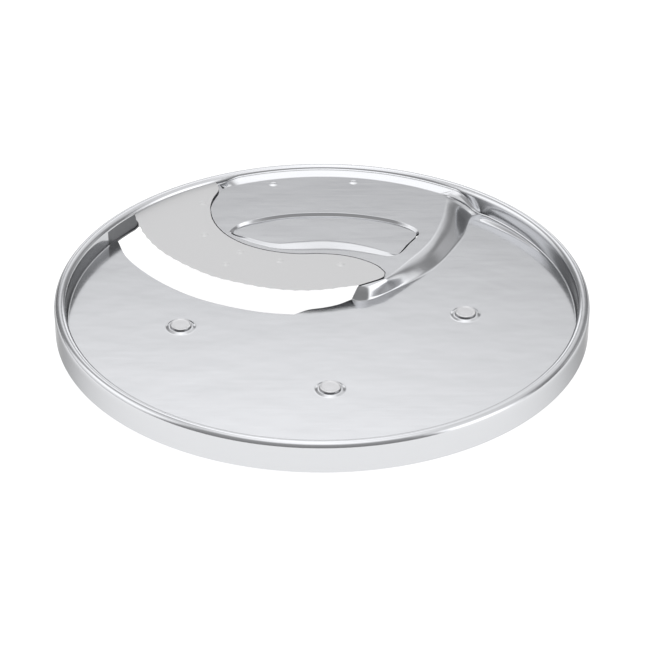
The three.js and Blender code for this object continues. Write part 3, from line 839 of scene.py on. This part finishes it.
def ground_bevel():
    """The flutes at the blade's edge as the wheel leaves them, with grinding marks across the edge."""
    material, tree = new_material("blade_steel_fluted_by_wheel")
    marks = node(tree, "ShaderNodeTexNoise", Scale=1.0, Detail=2.0,
                 links={"Vector": stretched(tree, 0.3, 3, 3)})
    bump = node(tree, "ShaderNodeBump", Strength=1.0, Distance=0.006 * MM,
                links={"Height": marks.outputs[0]})
    shade(tree, srgb("C4C5C6"), 1.0, 0.22, bump.outputs[0])
    return material


def blade_steel_painted_shade():
    """Underside, lower bevel and edges of the blade: dull, and painted dark grey as shade that the pale
    floor would otherwise light.
    """
    material, tree = new_material("blade_steel_dull_and_painted_shade")
    scale = node(tree, "ShaderNodeTexNoise", Scale=1.0, Detail=4.0,
                 links={"Vector": stretched(tree, 3, 2)})
    shade(tree, srgb("58595C"), 1.0, ranged(tree, scale.outputs[0], 0.4, 0.55))
    return material


def sheared_edge_and_painted_shade():
    """Cut edge of the sheet: torn by the punch, so darker and rougher than its faces; the same dark grey is
    painted shade on the slit's lips and on the wall beside the slot's end.
    """
    material, tree = new_material("stainless_sheet_sheared_edge_and_painted_shade")
    torn_and_shaded = node(tree, "ShaderNodeTexNoise", Scale=1.0, Detail=3.0,
                links={"Vector": stretched(tree, 0.4, 0.4, 2)})
    shade(tree, srgb("707173"), 1.0, ranged(tree, torn_and_shaded.outputs[0], 0.38, 0.5))
    return material


def fastener_steel():
    """Cold-headed stainless rivets, washers, pins and sleeve, lightly polished."""
    material, tree = new_material("stainless_fastener_cold_headed")
    marks = node(tree, "ShaderNodeTexNoise", Scale=1.0, Detail=2.0,
                 links={"Vector": stretched(tree, 0.8, 0.8)})
    bump = node(tree, "ShaderNodeBump", Strength=1.0, Distance=0.003 * MM,
                links={"Height": marks.outputs[0]})
    shade(tree, srgb("CCCCCD"), 1.0, 0.26, bump.outputs[0])
    return material


def moulded_plastic():
    """White injection-moulded acetal, with the fine grain of a spark-eroded mould."""
    material, tree = new_material("white_acetal_moulded")
    grain = node(tree, "ShaderNodeTexNoise", Scale=1.0, Detail=3.0,
                 links={"Vector": stretched(tree, 0.25, 0.25)})
    bump = node(tree, "ShaderNodeBump", Strength=0.6, Distance=0.01 * MM,
                links={"Height": grain.outputs[0]})
    shade(tree, srgb("F1F0EC"), 0.0, ranged(tree, grain.outputs[0], 0.42, 0.55, (0.0, 1.0)),
          bump.outputs[0])
    return material


# ---------------------------------------------------------------- camera, floor and light

LENS, SENSOR = 156.49, 36              # millimetres
SHIFT = (0.0009, -0.0431)
AIM_Z = (PLATE_Z + 6.3) * MM
DISTANCE, ELEVATION = 1.0, math.radians(31.84)
FLOOR_HALF, FLOOR_Z = 8.0, -0.05 * MM

# Lamps, as radiance by elevation and a share of it by azimuth from straight behind the object
LOW_RISE = [(-10, 1.75), (19, 1.75), (25, 0)]
LOW_TURN = [(-60, 0.03), (-30, 0.1), (-18, 1), (18, 1), (29, 0.14), (42, 0.26), (64, 0.34), (74, 0.03)]
BACK_RISE = [(12, 0.32), (25, 0.58), (30, 0.66), (32, 1.06), (35, 1.4), (41, 1.6), (85, 1.6)]
BACK_TURN = [(-70, 0.06), (-32, 0.4), (-12, 1), (0, 1), (8, 0.84), (24, 0.62), (56, 0.56), (66, 0.4),
             (76, 0.04)]
LEFT_RISE = [(0, 0.7), (20, 1.2), (35, 1.6), (60, 0.9)]
LEFT_TURN = [(-130, 0), (-100, 1), (-60, 1), (-42, 0)]
SIDE_RISE = [(0, 1.8), (30, 1.8), (50, 1.0), (66, 0.7), (80, 0.55)]
SIDE_TURN = [(84, 0), (91, 0.55), (106, 1), (125, 1), (140, 0)]
HIGH_RISE = [(22, 0.05), (30, 0.5), (42, 0.85), (60, 1), (75, 0.55)]
HIGH_TURN = [(50, 0), (68, 1), (120, 1), (140, 0)]
LAMPS = [(LOW_RISE, LOW_TURN), (BACK_RISE, BACK_TURN), (LEFT_RISE, LEFT_TURN), (SIDE_RISE, SIDE_TURN),
         (HIGH_RISE, HIGH_TURN)]
# Radiance by elevation that comes from every azimuth
OVER_RISE = [(-5, 0.2), (12, 0.3), (30, 0.36), (45, 0.4), (58, 0.5), (74, 1.3), (88, 1.6)]
BRIGHTEST = 2.0                        # a ramp's colours end at 1, so its levels are shares of this


def camera():
    """Seen from the front, 32 degrees up, from a metre away; the object sits above the middle."""
    data = bpy.data.cameras.new("view")
    data.lens, data.sensor_width = LENS, SENSOR
    data.shift_x, data.shift_y = SHIFT
    data.clip_start, data.clip_end = 0.05, 50
    view = bpy.data.objects.new("view", data)
    bpy.context.scene.collection.objects.link(view)
    back = DISTANCE * Vector((0, -math.cos(ELEVATION), math.sin(ELEVATION)))
    view.location = Vector((0, 0, AIM_Z)) + back
    view.rotation_euler = (math.pi / 2 - ELEVATION, 0, 0)
    bpy.context.scene.camera = view


def pale_floor():
    """A large white light table, so that the object stands on a clean pale ground."""
    mesh = bpy.data.meshes.new("floor")
    half, z = FLOOR_HALF, FLOOR_Z
    mesh.from_pydata([(-half, -half, z), (half, -half, z), (half, half, z), (-half, half, z)], [],
                     [(0, 1, 2, 3)])
    material, tree = new_material("white_light_table")
    surface = node(tree, "ShaderNodeBsdfPrincipled", Base_Color=srgb("A0A0A0"), Roughness=0.9,
                   Emission_Color=(1, 1, 1, 1), Emission_Strength=0.87)
    node(tree, "ShaderNodeOutputMaterial", links={"Surface": surface.outputs[0]})
    mesh.materials.append(material)
    floor = bpy.data.objects.new("floor", mesh)
    bpy.context.scene.collection.objects.link(floor)


def graded(tree, value, stops):
    """Grey levels over a value from 0 to 1, from stops as (position, level) joined by smooth steps."""
    made = node(tree, "ShaderNodeValToRGB", links={"Fac": value})
    made.color_ramp.interpolation = "EASE"
    elements = made.color_ramp.elements
    while len(elements) < len(stops):
        elements.new(0.5)
    for element, (position, level) in zip(elements, stops):
        element.position = position
        element.color = (level, level, level, 1)
    return made.outputs[0]


def by_elevation(tree, rise, stops):
    """Levels over the elevation; rise is 0 straight down and 1 straight up."""
    return graded(tree, rise, [(0.5 + elevation / 180, level / BRIGHTEST) for elevation, level in stops])


def by_azimuth(tree, turn, stops):
    """Shares over the azimuth; turn is 0.5 straight behind the object and grows to the right."""
    return graded(tree, turn, [(0.5 + azimuth / 360, share) for azimuth, share in stops])


def maths(tree, operation, *values):
    """A maths node on values or other nodes' outputs."""
    made = node(tree, "ShaderNodeMath", {"operation": operation})
    for k, value in enumerate(values):
        if isinstance(value, (int, float)):
            made.inputs[k].default_value = value
        else:
            tree.links.new(value, made.inputs[k])
    return made.outputs[0]


def soft_studio():
    """A cyclorama that is lit low down at the back and again higher up, soft lights at the left and
    the right, an overhead light, and dim flags between them."""
    world = bpy.data.worlds.new("studio")
    bpy.context.scene.world = world
    world.use_nodes = True
    tree = world.node_tree
    tree.nodes.clear()
    direction = node(tree, "ShaderNodeTexCoord").outputs["Generated"]
    x, y, z = node(tree, "ShaderNodeSeparateXYZ", links={"Vector": direction}).outputs
    turn = maths(tree, "DIVIDE", maths(tree, "ARCTAN2", x, y), 2 * math.pi)
    turn = maths(tree, "ADD", turn, 0.5)
    rise = maths(tree, "ADD", maths(tree, "DIVIDE", maths(tree, "ARCSINE", z), math.pi), 0.5)
    level = by_elevation(tree, rise, OVER_RISE)
    for heights, azimuths in LAMPS:
        lamp = maths(tree, "MULTIPLY", by_elevation(tree, rise, heights), by_azimuth(tree, turn, azimuths))
        level = maths(tree, "MAXIMUM", level, lamp)
    strength = maths(tree, "MULTIPLY", level, BRIGHTEST)
    background = node(tree, "ShaderNodeBackground", Color=(1, 1, 1.012, 1),
                      links={"Strength": strength})
    node(tree, "ShaderNodeOutputWorld", links={"Surface": background.outputs[0]})
    world.cycles.sampling_method = "MANUAL"
    world.cycles.sample_map_resolution = 512


# ---------------------------------------------------------------- assembly

# edge is the sheet's cut-edge steel, whose dark grey is also painted shade on the slit's lips and the wall
# beside the slot
sheet, edge = rolled_sheet(), sheared_edge_and_painted_shade()
# the blade's third material is steel painted dark as shade
blade_faces = [ground_blade(), ground_bevel(), blade_steel_painted_shade()]
fastener, plastic = fastener_steel(), moulded_plastic()

# Each piece, its material slot, and the CAD nodes that it replaces
PIECES = [
    (pressed_sheet([sheet, edge]), "sheet_steel", ["disc_plate"]),
    (blade(blade_faces), "blade_steel", ["slicing_blade"]),
    (rivets(fastener), "fastener_steel", ["rivet_left", "rivet_front", "rivet_right"]),
    (washers(fastener), "fastener_steel",
     ["rivet_washer_left", "rivet_washer_front", "rivet_washer_right"]),
    (refined("hub_carrier", "moulded_hub_carrier", plastic, 0.35), "hub_plastic", ["hub_carrier"]),
    (refined("socket_sleeve", "steel_socket_sleeve", fastener, 0.15), "fastener_steel", ["socket_sleeve"]),
    (refined("drive_pin_left", "left_drive_pin", fastener, 0.1), "fastener_steel", ["drive_pin_left"]),
    (refined("drive_pin_right", "right_drive_pin", fastener, 0.1), "fastener_steel", ["drive_pin_right"]),
]
for piece, slot, nodes in PIECES:
    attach(piece, BODY)
    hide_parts(*nodes)

camera()
pale_floor()
soft_studio()
bpy.context.scene.view_settings.view_transform = "Standard"
